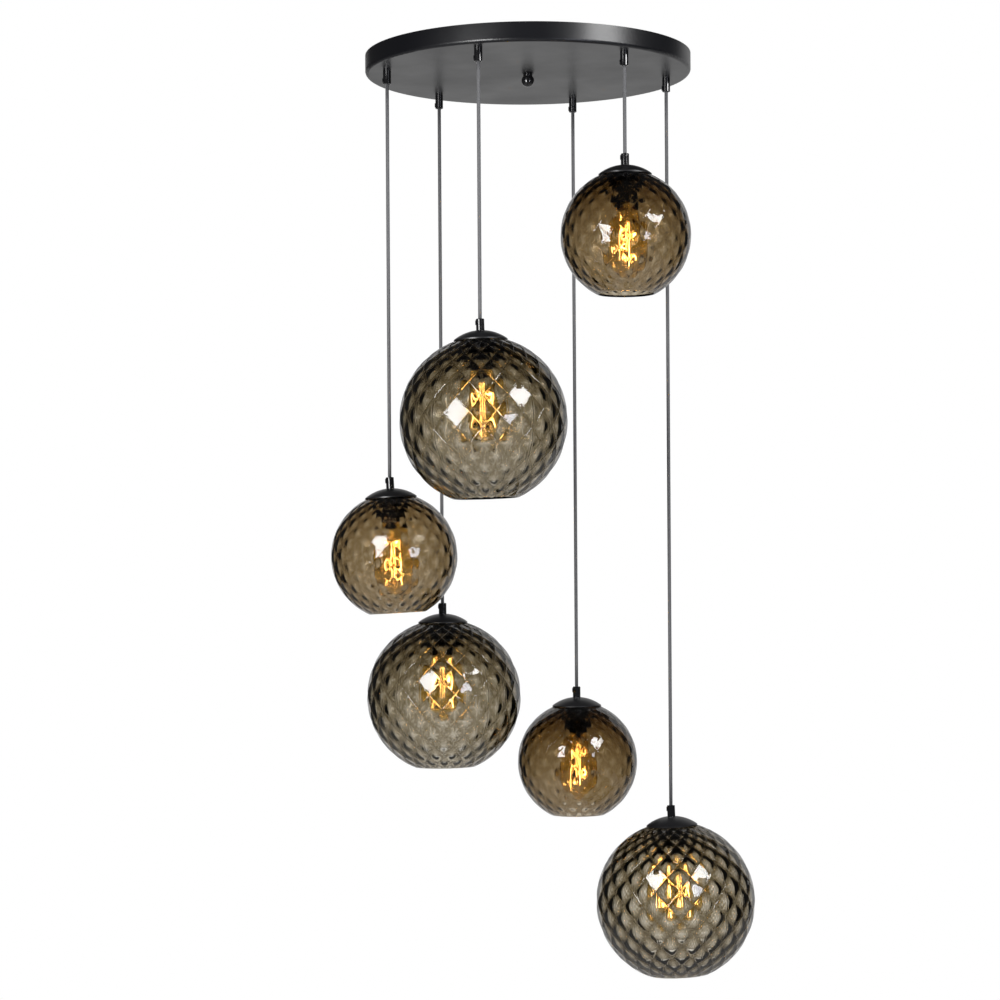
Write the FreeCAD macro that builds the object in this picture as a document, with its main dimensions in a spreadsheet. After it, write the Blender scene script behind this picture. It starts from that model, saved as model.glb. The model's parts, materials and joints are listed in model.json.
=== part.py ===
import FreeCAD, Part
import math
import os
import Sketcher

# A ceiling pendant with six smoke-glass globes on straight cords of different lengths.
# The origin is on the ceiling, over the middle of the plate, and everything hangs below it.
# +Z is up, +X is to the right and +Y is away from whoever looks at the lamp from its front.
# Lengths are in millimetres and angles in degrees.

DIMENSIONS = {
    # The pressed pan on the ceiling, open at the top
    "plate_radius": 254.0,
    "plate_height": 29.0,
    "plate_wall": 1.5,
    "plate_corner": 5.0,
    "cord_inset": 32.0,
    # The joggled strap that is screwed to the ceiling
    "strap_length": 200.0,
    "strap_width": 28.0,
    "strap_thickness": 2.5,
    "strap_drop": 10.0,
    "strap_end_length": 28.0,
    "joggle_run": 10.0,
    "screw_inset": 14.0,
    "slot_length": 18.0,
    "slot_radius": 2.75,
    "stud_radius": 5.0,
    "stud_engagement": 11.0,
    "stud_nut_flats": 17.0,
    "stud_nut_height": 5.0,
    "stud_end": 1.5,
    # The ball nut that holds the pan up
    "ball_radius": 10.0,
    "ball_neck_radius": 7.2,
    "ball_neck_height": 2.0,
    "ball_bore_depth": 12.5,
    "thread_clearance": 0.05,
    "hole_clearance": 0.2,
    # How far a cutting tool runs past the faces that it cuts
    "overcut": 2.0,
    # The cord grips on the plate and on the caps
    "cord_radius": 2.75,
    "grip_radius": 6.25,
    "grip_clearance": 0.25,
    "grip_edge": 0.6,
    "grip_mouth_radius": 4.6,
    "grip_mouth_depth": 4.0,
    "grip_thread_radius": 4.9,
    "plate_grip_height": 20.5,
    "cap_grip_height": 17.5,
    "cap_grip_thread_length": 9.0,
    "clamp_screw_radius": 2.0,
    "clamp_head_radius": 3.4,
    "clamp_head_height": 1.6,
    "clamp_seat_depth": 0.6,
    "clamp_inset": 5.6,
    "lock_nut_flats": 14.0,
    "lock_nut_height": 4.0,
    "lock_nut_thread_end": 0.5,
    # The cords: how deep their ends go into a grip's mouth, and the break between cord and tail
    "cord_entry": 1.5,
    "cord_break": 0.5,
    "cord_end_depth": 2.0,
    "tail_height": 8.5,
    "tail_first_bend": 12.0,
    "tail_bow": 9.0,
    "tail_back_bow": 5.4,
    "tail_bow_share": 0.34,
    "tail_back_bow_share": 0.68,
    "tail_lead": 26.0,
    "bend_share": 0.45,
    # The terminal strip under the strap
    "terminal_length": 42.0,
    "terminal_width": 20.0,
    "terminal_height": 12.0,
    "terminal_offset": 40.0,
    "terminal_pitch": 14.0,
    "terminal_groove": 1.6,
    "terminal_groove_depth": 3.5,
    "terminal_entry_depth": 3.0,
    "terminal_screw_radius": 2.0,
    "terminal_screw_depth": 3.0,
    "terminal_screw_head": 0.6,
    "terminal_screw_inset": 6.0,
    # The dome caps
    "cap_radius": 40.0,
    "cap_height": 15.0,
    "cap_band": 2.0,
    "cap_wall": 1.2,
    "cap_crown_radius": 8.0,
    # The globes
    "large_globe_radius": 125.0,
    "small_globe_radius": 98.0,
    "large_mouth_radius": 49.0,
    "small_mouth_radius": 43.5,
    "glass_wall": 2.6,
    "glass_lip_radius": 1.45,
    "glass_hole_radius": 23.0,
    "glass_seat_gap": 0.1,
    # The lamp holders and the rings that clamp the glass
    "holder_radius": 20.0,
    "holder_length": 58.0,
    "holder_boss_radius": 7.5,
    "holder_boss_height": 3.0,
    "holder_shoulder_height": 7.0,
    "holder_mouth_radius": 16.0,
    "holder_mouth_depth": 5.0,
    "socket_depth": 32.0,
    "socket_clearance": 0.08,
    "ring_radius": 28.0,
    "ring_flange": 2.5,
    "ring_collar_radius": 24.0,
    "ring_height": 9.0,
    # The bulbs, measured downwards from the lamp holder's lower edge
    "bulb_cap_radius": 13.3,
    "bulb_cap_length": 26.5,
    "bulb_cap_wall": 0.6,
    "bulb_cap_skirt": 8.0,
    "bulb_cap_showing": 0.5,
    "insulator_radius": 9.0,
    "insulator_height": 4.5,
    "contact_radius": 4.8,
    "contact_height": 1.5,
    "envelope_wall": 0.9,
    "envelope_neck_radius": 13.5,
    "envelope_neck_drop": 3.5,
    "envelope_throat_radius": 21.0,
    "envelope_throat_drop": 24.5,
    "envelope_radius": 32.0,
    "envelope_widest_drop": 74.5,
    "envelope_length": 111.0,
    "stem_flare_radius": 9.0,
    "stem_foot": 1.5,
    "stem_waist_radius": 3.2,
    "stem_waist_drop": 10.5,
    "stem_radius": 1.6,
    "filament_radius": 0.9,
    "filament_top_radius": 6.0,
    "filament_bottom_radius": 12.5,
    "filament_top_drop": 24.0,
    "filament_bottom_drop": 88.0,
    "support_wire_radius": 0.4,
    # The first cord's place round the plate, the depth of each globe's centre below the plate and its lean
    "first_cord_angle": 10.0,
    "drop_a": 752.0,
    "drop_b": 977.0,
    "drop_c": 554.0,
    "drop_d": 1087.0,
    "drop_e": 275.0,
    "drop_f": 1298.0,
    "lean_angle_a": 3.0,
    "lean_angle_b": 0.6,
    "lean_angle_c": 1.6,
    "lean_angle_d": 0.3,
    "lean_angle_e": 0.2,
    "lean_angle_f": 2.4,
}

LARGE_PENDANTS = "bcf"
PENDANTS = "abcdef"
CORDS_ROUND_PLATE = "fdbace"
FILAMENT_PAIRS = 3

document = FreeCAD.newDocument("cluster_pendant")
sheet = document.addObject("Spreadsheet::Sheet", "sizes")


class Size:
    """A size with its value now and the sheet formula that gives it."""

    def __init__(self, value, formula):
        self.value = value
        self.formula = formula

    def __add__(self, other):
        other = as_size(other)
        return Size(self.value + other.value, f"({self.formula} + {other.formula})")

    def __sub__(self, other):
        other = as_size(other)
        return Size(self.value - other.value, f"({self.formula} - {other.formula})")

    def __mul__(self, other):
        other = as_size(other)
        return Size(self.value * other.value, f"({self.formula} * {other.formula})")

    def __truediv__(self, other):
        other = as_size(other)
        return Size(self.value / other.value, f"({self.formula} / {other.formula})")

    def __neg__(self):
        return Size(-self.value, f"(-1 * {self.formula})")


def as_size(number):
    """A size as it is, or a plain number as a size that nothing drives."""
    return number if isinstance(number, Size) else Size(float(number), repr(float(number)))


def root(size):
    """The square root of a size."""
    return Size(math.sqrt(size.value), f"sqrt({size.formula})")


def cosine(angle):
    """The cosine of an angle in degrees."""
    return Size(math.cos(math.radians(angle.value)), f"cos({angle.formula} * 1 deg)")


def sine(angle):
    """The sine of an angle in degrees."""
    return Size(math.sin(math.radians(angle.value)), f"sin({angle.formula} * 1 deg)")


def leg(hypotenuse, other_leg):
    """The leg of a right triangle, such as a sphere's height at a given radius."""
    return root(hypotenuse * hypotenuse - other_leg * other_leg)


def fill_sheet():
    """Write each dimension into the sheet under its own name, and give them all back as sizes."""
    sizes = {}
    for row, (name, number) in enumerate(DIMENSIONS.items(), start=1):
        sheet.set(f"A{row}", name)
        sheet.set(f"B{row}", str(number))
        sheet.setAlias(f"B{row}", name)
        sizes[name] = Size(number, f"sizes.{name}")
    document.recompute()
    return sizes


S = fill_sheet()


def bind(thing, name, size):
    """Drive one property of a document object from the sheet."""
    thing.setExpression(name, as_size(size).formula)


def place(thing, x=0, y=0, z=0, lean=None):
    """Put an object at a point, turned by its lean so that its lower end goes to the right."""
    spot = [as_size(x), as_size(y), as_size(z)]
    turn = FreeCAD.Rotation(FreeCAD.Vector(0, -1, 0), lean.value) if lean else FreeCAD.Rotation()
    thing.Placement = FreeCAD.Placement(FreeCAD.Vector(*[size.value for size in spot]), turn)
    for letter, size in zip("xyz", spot):
        bind(thing, f"Placement.Base.{letter}", size)
    if lean:
        bind(thing, "Placement.Rotation.Angle", lean)
    return thing


def sketch_on(body, plane, name):
    """An empty sketch on one of a body's own origin planes."""
    sketch = body.newObject("Sketcher::SketchObject", name)
    support = [part for part in body.Origin.OriginFeatures if part.Role == plane][0]
    sketch.AttachmentSupport = [(support, "")]
    sketch.MapMode = "FlatFace"
    return sketch


def pin_point(sketch, side, end, spot):
    """Hold one end of a sketched side at its place, and let the sheet drive it."""
    for letter, axis, number in (("X", -2, spot[0]), ("Y", -1, spot[1])):
        if not isinstance(number, Size):
            sketch.addConstraint(Sketcher.Constraint("PointOnObject", side, end, axis))
            continue
        constraint = Sketcher.Constraint("Distance" + letter, -1, 1, side, end, number.value)
        sketch.setExpression(f"Constraints[{sketch.addConstraint(constraint)}]", number.formula)


def draw_outline(sketch, outline):
    """Draw a closed outline. A corner is (across, up), or (across, up, radius, centre) where the side that
    leaves it is an arc. A plain 0 lies on the axis."""
    ends = []
    for side, corner in enumerate(outline):
        following = outline[(side + 1) % len(outline)]
        start, finish = [
            FreeCAD.Vector(as_size(spot[0]).value, as_size(spot[1]).value, 0) for spot in (corner, following)
        ]
        if len(corner) == 2:
            sketch.addGeometry(Part.LineSegment(start, finish))
            ends.append((1, 2))
            continue
        radius, centre = corner[2], FreeCAD.Vector(*[as_size(size).value for size in corner[3]], 0)
        circle = Part.Circle(centre, FreeCAD.Vector(0, 0, 1), radius.value)
        from_start, from_finish = start - centre, finish - centre
        anticlockwise = from_start.cross(from_finish).z > 0
        first, last = (from_start, from_finish) if anticlockwise else (from_finish, from_start)
        sketch.addGeometry(Part.ArcOfCircle(circle, math.atan2(first.y, first.x), math.atan2(last.y, last.x)))
        ends.append((1, 2) if anticlockwise else (2, 1))
    for side, corner in enumerate(outline):
        before = side - 1 if side else len(outline) - 1
        sketch.addConstraint(Sketcher.Constraint("Coincident", before, ends[before][1], side, ends[side][0]))
        pin_point(sketch, side, ends[side][0], corner)
        if len(corner) > 2:
            held = sketch.addConstraint(Sketcher.Constraint("Radius", side, corner[2].value))
            sketch.setExpression(f"Constraints[{held}]", corner[2].formula)


def turned(name, outline):
    """A body turned about Z from an outline of radii and heights."""
    body = document.addObject("PartDesign::Body", name)
    sketch = sketch_on(body, "XZ_Plane", name + "_outline")
    draw_outline(sketch, outline)
    revolution = body.newObject("PartDesign::Revolution", name + "_turning")
    revolution.Profile = sketch
    revolution.ReferenceAxis = (sketch, ["V_Axis"])
    revolution.Angle = 360
    return body


def round_hole(body, name, across, along, radius):
    """A hole through a body along Z."""
    sketch = sketch_on(body, "XY_Plane", name + "_circle")
    spot = FreeCAD.Vector(as_size(across).value, as_size(along).value, 0)
    side = sketch.addGeometry(Part.Circle(spot, FreeCAD.Vector(0, 0, 1), radius.value))
    pin_point(sketch, side, 3, (across, along))
    held = sketch.addConstraint(Sketcher.Constraint("Radius", side, radius.value))
    sketch.setExpression(f"Constraints[{held}]", radius.formula)
    pocket = body.newObject("PartDesign::Pocket", name)
    pocket.Profile = sketch
    pocket.Type = "ThroughAll"
    pocket.SideType = "Symmetric"
    return sketch, pocket


def cylinder(name, radius, height, x=0, y=0, z=0):
    """An upright cylinder that stands on a point."""
    rod = document.addObject("Part::Cylinder", name)
    bind(rod, "Radius", radius)
    bind(rod, "Height", height)
    return place(rod, x, y, z)


def sideways_cylinder(name, radius, height, x, z):
    """A cylinder that starts at a point and lies along -X."""
    rod = cylinder(name, radius, height, x, 0, z)
    rod.Placement.Rotation = FreeCAD.Rotation(FreeCAD.Vector(0, 1, 0), -90)
    return rod


def block(name, length, width, height, x, y, z):
    """A box whose middle in plan is at x and y, and which stands on z."""
    box = document.addObject("Part::Box", name)
    bind(box, "Length", length)
    bind(box, "Width", width)
    bind(box, "Height", height)
    return place(box, as_size(x) - as_size(length) / 2, as_size(y) - as_size(width) / 2, z)


def cut(name, base, tools):
    """One piece less others."""
    tool = tools[0]
    if len(tools) > 1:
        tool = document.addObject("Part::MultiFuse", name + "_tools")
        tool.Shapes = tools
    piece = document.addObject("Part::Cut", name)
    piece.Base = base
    piece.Tool = tool
    return piece


def fused(name, pieces):
    """Several shapes as one solid."""
    piece = document.addObject("Part::MultiFuse", name)
    piece.Shapes = pieces
    return piece


def group(name, pieces):
    """Several separate solids under one name."""
    together = document.addObject("Part::Compound", name)
    together.Links = pieces
    return together


def hexagon_nut(name, flats, height, bore, x=0, y=0, z=0):
    """A plain hexagon nut that stands on a point."""
    prism = document.addObject("Part::Prism", name + "_blank")
    prism.Polygon = 6
    bind(prism, "Circumradius", flats / math.sqrt(3))
    bind(prism, "Height", height)
    hole = cylinder(name + "_bore", bore, height + S["overcut"] * 2, 0, 0, -S["overcut"])
    return place(cut(name, prism, [hole]), x, y, z)


# Heights that several pieces share
PLATE_UNDERSIDE = -S["plate_height"]
PLATE_FLOOR = PLATE_UNDERSIDE + S["plate_wall"]
STRAP_TOP = -S["strap_drop"]
STRAP_UNDERSIDE = STRAP_TOP - S["strap_thickness"]
GRIP_MOUTH = PLATE_UNDERSIDE - S["plate_grip_height"]
CORD_TOP = GRIP_MOUTH + S["cord_entry"]
GRIP_BORE = S["cord_radius"] + S["grip_clearance"]
GRIP_HOLE = S["grip_thread_radius"] + S["hole_clearance"]
PLATE_GRIP_THREAD = S["plate_wall"] + S["lock_nut_height"] + S["lock_nut_thread_end"]

# Heights along a pendant, from the point where the cord enters its grip
CROWN = -S["cap_grip_height"]
CAP_RIM = CROWN - S["cap_height"]
HOLDER_END = CROWN - S["holder_length"]
SOCKET_RADIUS = S["bulb_cap_radius"] + S["socket_clearance"]


def cord_place(letter):
    """Where a pendant's cord leaves the plate."""
    angle = S["first_cord_angle"] + 360 / len(PENDANTS) * CORDS_ROUND_PLATE.index(letter)
    radius = S["plate_radius"] - S["cord_inset"]
    return radius * cosine(angle), radius * sine(angle)


def globe_radius(letter):
    """The outside radius of a pendant's globe."""
    return S["large_globe_radius"] if letter in LARGE_PENDANTS else S["small_globe_radius"]


def globe_mouth(letter):
    """The radius of a globe's open mouth."""
    return S["large_mouth_radius"] if letter in LARGE_PENDANTS else S["small_mouth_radius"]


def globe_centre(letter):
    """The globe's centre below the cord's end, where the cap's rim rests on the glass."""
    seat = leg(globe_radius(letter), S["cap_radius"] - S["cap_wall"])
    return CAP_RIM - S["glass_seat_gap"] - seat


def pendant_height(letter):
    """The height at which a cord ends in its cap's grip."""
    return PLATE_UNDERSIDE - S["drop_" + letter] - globe_centre(letter)


def hang(piece, letter):
    """Move a piece from its place on the pendant's own axis to its place under the plate."""
    x, y = cord_place(letter)
    return place(piece, x, y, pendant_height(letter), S["lean_angle_" + letter])


def ceiling_plate():
    """The pan: a flat face with a rounded corner and a straight rim, and its seven holes."""
    radius, wall, corner = S["plate_radius"], S["plate_wall"], S["plate_corner"]
    centre = (radius - corner, PLATE_UNDERSIDE + corner)
    body = turned("ceiling_plate", [
        (0, PLATE_UNDERSIDE),
        (radius - corner, PLATE_UNDERSIDE, corner, centre),
        (radius, PLATE_UNDERSIDE + corner),
        (radius, 0),
        (radius - wall, 0),
        (radius - wall, PLATE_UNDERSIDE + corner, corner - wall, centre),
        (radius - corner, PLATE_FLOOR),
        (0, PLATE_FLOOR),
    ])
    round_hole(body, "stud_hole", 0, 0, S["stud_radius"] + S["hole_clearance"])
    x, y = cord_place("f")
    circle, hole = round_hole(body, "cord_hole", x, y, GRIP_HOLE)
    ring = body.newObject("PartDesign::PolarPattern", "cord_holes")
    ring.Originals = [hole]
    ring.Axis = (circle, ["N_Axis"])
    ring.Angle = 360
    ring.Occurrences = len(PENDANTS)
    body.Tip = ring
    return body


def mounting_bracket():
    """The strap: its ends lie on the ceiling and its middle is joggled down. The stud hangs in its middle
    between two nuts."""
    half, thickness = S["strap_length"] / 2, S["strap_thickness"]
    end, middle = half - S["strap_end_length"], half - S["strap_end_length"] - S["joggle_run"]
    slant = root(S["joggle_run"] * S["joggle_run"] + S["strap_drop"] * S["strap_drop"])
    mitre = thickness * (slant - S["joggle_run"]) / S["strap_drop"]
    lower = [(half, 0), (half, -thickness), (end, -thickness), (middle, STRAP_UNDERSIDE)]
    upper = [(middle - mitre, STRAP_TOP), (end - mitre, 0)]
    body = document.addObject("PartDesign::Body", "strap_blank")
    sketch = sketch_on(body, "XZ_Plane", "strap_side")
    mirrored = [(-x, z) for x, z in (upper + lower)[::-1]]
    draw_outline(sketch, lower + mirrored + upper)
    pad = body.newObject("PartDesign::Pad", "strap_width")
    pad.Profile = sketch
    bind(pad, "Length", S["strap_width"])
    pad.SideType = "Symmetric"
    depth = thickness + S["overcut"] * 2
    tools = [cylinder("strap_stud_hole", S["stud_radius"], depth, 0, 0, STRAP_UNDERSIDE - S["overcut"])]
    straight, foot = S["slot_length"] - S["slot_radius"] * 2, -thickness - S["overcut"]
    for side, name in ((1, "right"), (-1, "left")):
        x = (half - S["screw_inset"]) * side
        tools.append(block(name + "_slot", straight, S["slot_radius"] * 2, depth, x, 0, foot))
        for end_side, end_name in ((1, "front"), (-1, "back")):
            spot = x + straight * (end_side / 2)
            tools.append(cylinder(f"{name}_slot_{end_name}", S["slot_radius"], depth, spot, 0, foot))
    strap = cut("strap", body, tools)
    stud_top = STRAP_TOP + S["stud_nut_height"] + S["stud_end"]
    stud_bottom = PLATE_UNDERSIDE - S["stud_engagement"]
    stud = cylinder("stud", S["stud_radius"], stud_top - stud_bottom, 0, 0, stud_bottom)
    nuts = [
        hexagon_nut(name, S["stud_nut_flats"], S["stud_nut_height"], S["stud_radius"], 0, 0, height)
        for name, height in (("upper_nut", STRAP_TOP), ("lower_nut", STRAP_UNDERSIDE - S["stud_nut_height"]))
    ]
    return group("mounting_bracket", [strap, stud] + nuts)


def ball_nut():
    """A ball on a short neck, with a blind threaded hole from above."""
    neck, ball, top = S["ball_neck_radius"], S["ball_radius"], PLATE_UNDERSIDE - S["thread_clearance"]
    shoulder = top - S["ball_neck_height"]
    centre = shoulder - leg(ball, neck)
    bore = S["stud_radius"] + S["thread_clearance"]
    return turned("ball_nut", [
        (bore, top),
        (neck, top),
        (neck, shoulder, ball, (0, centre)),
        (0, centre - ball),
        (0, top - S["ball_bore_depth"]),
        (bore, top - S["ball_bore_depth"]),
    ])


def cord_grip(name, height, thread_length):
    """A cord grip with its mouth up and its thread down, standing on z = 0, with its clamp screw."""
    radius, thread, edge = S["grip_radius"], S["grip_thread_radius"], S["grip_edge"]
    blank = turned(name + "_blank", [
        (GRIP_BORE, -thread_length),
        (thread, -thread_length),
        (thread, 0),
        (radius, 0),
        (radius, height - edge),
        (radius - edge, height),
        (S["grip_mouth_radius"], height),
        (GRIP_BORE, height - S["grip_mouth_depth"]),
    ])
    screw_height = height - S["clamp_inset"]
    seat = radius - S["clamp_seat_depth"]
    screw, screw_head = S["clamp_screw_radius"], S["clamp_head_radius"]
    hole = sideways_cylinder(name + "_screw_hole", screw, radius, 0, screw_height)
    sink = sideways_cylinder(name + "_screw_seat", screw_head, radius, -seat, screw_height)
    body = cut(name + "_body", blank, [hole, sink])
    shank = sideways_cylinder(name + "_shank", screw, seat - GRIP_BORE, -GRIP_BORE, screw_height)
    head = sideways_cylinder(name + "_head", screw_head, S["clamp_head_height"], -seat, screw_height)
    return body, fused(name + "_clamp_screw", [shank, head])


def plate_cord_grips():
    """The six grips under the plate, mouths down, each with its lock nut inside the pan."""
    pieces = []
    for letter in PENDANTS:
        x, y = cord_place(letter)
        name = "plate_grip_" + letter
        for piece in cord_grip(name, S["plate_grip_height"], PLATE_GRIP_THREAD):
            place(piece, x, y, PLATE_UNDERSIDE)
            piece.Placement.Rotation = FreeCAD.Rotation(FreeCAD.Vector(0, 0, 1), 180) * \
                FreeCAD.Rotation(FreeCAD.Vector(0, 1, 0), 180)
            pieces.append(piece)
        pieces.append(hexagon_nut(
            "lock_nut_" + letter, S["lock_nut_flats"], S["lock_nut_height"], S["grip_thread_radius"],
            x, y, PLATE_FLOOR))
    return group("plate_cord_grips", pieces)


def terminal_block():
    """The terminal strip: a block with grooves between its poles, cord entries on both sides and screws."""
    length, width, height = S["terminal_length"], S["terminal_width"], S["terminal_height"]
    x, foot = S["terminal_offset"], STRAP_UNDERSIDE - height
    blank = block("terminal_blank", length, width, height, x, 0, foot)
    tools, screws = [], []
    for pole in (-1, 0, 1):
        spot = x + S["terminal_pitch"] * pole
        if pole:
            tools.append(block(
                f"terminal_groove_{pole + 2}", S["terminal_groove"], width + S["overcut"] * 2,
                S["terminal_groove_depth"] + S["overcut"], x + S["terminal_pitch"] * (pole / 2), 0,
                foot - S["overcut"]))
        for side in (-1, 1):
            name = f"pole_{pole + 2}_{'front' if side < 0 else 'back'}"
            face = width / 2 * side
            entry = cylinder(
                name + "_entry", S["cord_radius"] + S["hole_clearance"], S["terminal_entry_depth"] * 2,
                spot, face + S["terminal_entry_depth"], foot + height / 2)
            entry.Placement.Rotation = FreeCAD.Rotation(FreeCAD.Vector(1, 0, 0), 90)
            y = (width / 2 - S["terminal_screw_inset"]) * side
            tools.append(entry)
            tools.append(cylinder(
                name + "_screw_hole", S["terminal_screw_radius"], S["terminal_screw_depth"] + S["overcut"],
                spot, y, foot - S["overcut"]))
            head = S["terminal_screw_head"]
            screws.append(cylinder(
                name + "_screw", S["terminal_screw_radius"], S["terminal_screw_depth"] + head,
                spot, y, foot - head))
    return group("terminal_block", [cut("terminal_body", blank, tools)] + screws)


def bent_tube(points, bends, radius):
    """A tube along straight runs joined by tangent arcs, one arc at each inner point."""
    edges, last = [], points[0]
    length = 0.0
    for before, corner, after, bend in zip(points, points[1:], points[2:], bends):
        inward, outward = (before - corner).normalize(), (after - corner).normalize()
        half_turn = (math.pi - inward.getAngle(outward)) / 2
        reach = bend * math.tan(half_turn)
        start, finish = corner + inward * reach, corner + outward * reach
        bisector = (inward + outward).normalize()
        middle = corner + bisector * (bend / math.cos(half_turn) - bend)
        edges += [Part.LineSegment(last, start).toShape(), Part.Arc(start, middle, finish).toShape()]
        length += (start - last).Length + bend * 2 * half_turn
        last = finish
    edges.append(Part.LineSegment(last, points[-1]).toShape())
    length += (points[-1] - last).Length
    ring = Part.Wire(Part.Circle(points[0], points[1] - points[0], radius).toShape())
    tube = Part.Wire(edges).makePipeShell([ring], True, False)
    expected = math.pi * radius ** 2 * length
    print(f"cord tail: length {length:.1f} mm, bends {[round(bend, 1) for bend in bends]} mm, "
          f"volume {tube.Volume / expected:.4f} of section times length")
    return tube


def widest_bend(before, corner, after):
    """The widest bend that takes up no more than the bend share of the shorter of two runs."""
    first, second = before - corner, after - corner
    half_turn = (math.pi - first.getAngle(second)) / 2
    return S["bend_share"].value * min(first.Length, second.Length) / math.tan(half_turn)


def cord_tails():
    """The ends of the six cords inside the pan, each from its grip to its own pole of the terminal strip."""
    poles = {"a": (-1, -1), "c": (0, -1), "e": (1, -1), "b": (-1, 1), "d": (0, 1), "f": (1, 1)}
    strip_height = (STRAP_UNDERSIDE - S["terminal_height"] / 2).value
    bottom = (CORD_TOP + S["cord_break"]).value
    top = -S["tail_height"].value
    tails = []
    for letter, (pole, side) in poles.items():
        x, y = [size.value for size in cord_place(letter)]
        pole_x = (S["terminal_offset"] + S["terminal_pitch"] * pole).value
        face = side * (S["terminal_width"] / 2 - S["terminal_entry_depth"] + S["hole_clearance"]).value
        turn_in = FreeCAD.Vector(pole_x, face + side * S["tail_lead"].value, strip_height)
        corner = FreeCAD.Vector(x, y, top)
        along = turn_in - corner
        sideways = FreeCAD.Vector(-along.y, along.x, 0).normalize()
        points = [
            FreeCAD.Vector(x, y, bottom),
            corner,
            corner + along * S["tail_bow_share"].value + sideways * S["tail_bow"].value,
            corner + along * S["tail_back_bow_share"].value - sideways * S["tail_back_bow"].value,
            turn_in,
            FreeCAD.Vector(pole_x, face, strip_height),
        ]
        bends = [S["tail_first_bend"].value]
        bends += [widest_bend(*points[index:index + 3]) for index in range(1, len(points) - 2)]
        tail = document.addObject("Part::Feature", "cord_tail_" + letter)
        tail.Shape = bent_tube(points, bends, S["cord_radius"].value)
        tails.append(tail)
    return group("cord_tails", tails)


def cord(letter):
    """The straight cord, from the mouth of the plate's grip to the mouth of the cap's grip."""
    x, y = cord_place(letter)
    bottom = pendant_height(letter) - S["cord_end_depth"]
    return cylinder("cord_" + letter, S["cord_radius"], CORD_TOP - bottom, x, y, bottom)


def cap_grip(letter):
    """The grip on the cap. Its thread goes through the cap into the lamp holder."""
    pieces = cord_grip("cap_grip_" + letter + "_part", S["cap_grip_height"], S["cap_grip_thread_length"])
    for piece in pieces:
        place(piece, 0, 0, CROWN)
    return hang(group("cap_grip_" + letter, list(pieces)), letter)


def cap(letter):
    """The dome cap: a flat crown for the grip, a round dome and a short straight band."""
    radius, wall, crown = S["cap_radius"], S["cap_wall"], S["cap_crown_radius"]
    rise = S["cap_height"] - S["cap_band"]
    below = (crown * crown - radius * radius - rise * rise) / (rise * 2)
    dome = root(crown * crown + below * below)
    centre = CROWN + below
    inner = dome - wall
    return hang(turned("cap_" + letter, [
        (GRIP_HOLE, CROWN),
        (crown, CROWN, dome, (0, centre)),
        (radius, CROWN - rise),
        (radius, CAP_RIM),
        (radius - wall, CAP_RIM),
        (radius - wall, centre + leg(inner, radius - wall), inner, (0, centre)),
        (leg(inner, -below - wall), CROWN - wall),
        (GRIP_HOLE, CROWN - wall),
    ]), letter)


def lamp_holder(letter):
    """The E27 lamp holder: a threaded boss under the cap, a shoulder, a straight body and its socket."""
    radius, boss, bore = S["holder_radius"], S["holder_boss_radius"], S["grip_thread_radius"]
    top = CROWN - S["cap_wall"]
    shoulder = top - S["holder_boss_height"]
    bore_end = CROWN - S["cap_grip_thread_length"] - S["lock_nut_thread_end"]
    return hang(turned("lamp_holder_" + letter, [
        (bore, top),
        (boss, top),
        (boss, shoulder),
        (radius, shoulder - S["holder_shoulder_height"]),
        (radius, HOLDER_END),
        (S["holder_mouth_radius"], HOLDER_END),
        (S["holder_mouth_radius"], HOLDER_END + S["holder_mouth_depth"]),
        (SOCKET_RADIUS, HOLDER_END + S["holder_mouth_depth"]),
        (SOCKET_RADIUS, HOLDER_END + S["socket_depth"]),
        (0, HOLDER_END + S["socket_depth"]),
        (0, bore_end),
        (bore, bore_end),
    ]), letter)


def shade_ring(letter):
    """The ring on the holder that presses the glass up against the cap."""
    bore, collar, rim = S["holder_radius"], S["ring_collar_radius"], S["ring_radius"]
    inside = globe_radius(letter) - S["glass_wall"]
    top = globe_centre(letter) + leg(inside, rim) - S["glass_seat_gap"]
    return hang(turned("shade_ring_" + letter, [
        (bore, top),
        (rim, top),
        (rim, top - S["ring_flange"]),
        (collar, top - S["ring_flange"]),
        (collar, top - S["ring_height"]),
        (bore, top - S["ring_height"]),
    ]), letter)


def glass(letter):
    """The globe: a thin sphere with a hole for the lamp holder and an open mouth with a rounded lip."""
    outer, mouth, hole = globe_radius(letter), globe_mouth(letter), S["glass_hole_radius"]
    inner, centre = outer - S["glass_wall"], globe_centre(letter)
    share = inner / outer
    depth = leg(outer, mouth)
    lip = S["glass_lip_radius"]
    lip_rise = leg(lip, S["glass_wall"] / 2) / outer
    middle = (share + 1) / 2
    lip_centre = (mouth * middle + depth * lip_rise, centre - depth * middle + mouth * lip_rise)
    return hang(turned("glass_" + letter, [
        (hole, centre + leg(outer, hole), outer, (0, centre)),
        (mouth, centre - depth, lip, lip_centre),
        (mouth * share, centre - depth * share, inner, (0, centre)),
        (hole, centre + leg(inner, hole)),
    ]), letter)


def bulb_cap(letter):
    """The bulb's screw cap with its insulator and contact, hollow at the end that holds the envelope."""
    radius, wall = S["bulb_cap_radius"], S["bulb_cap_wall"]
    foot = HOLDER_END - S["bulb_cap_showing"]
    tip = foot + S["bulb_cap_length"]
    neck_end = foot + S["bulb_cap_skirt"]
    shell_top = tip - S["contact_height"] - S["insulator_height"]
    return hang(turned("bulb_cap_" + letter, [
        (0, neck_end),
        (radius - wall, neck_end),
        (radius - wall, foot),
        (radius, foot),
        (radius, shell_top),
        (S["insulator_radius"], tip - S["contact_height"]),
        (S["contact_radius"], tip - S["contact_height"]),
        (S["contact_radius"], tip),
        (0, tip),
    ]), letter)


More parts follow.
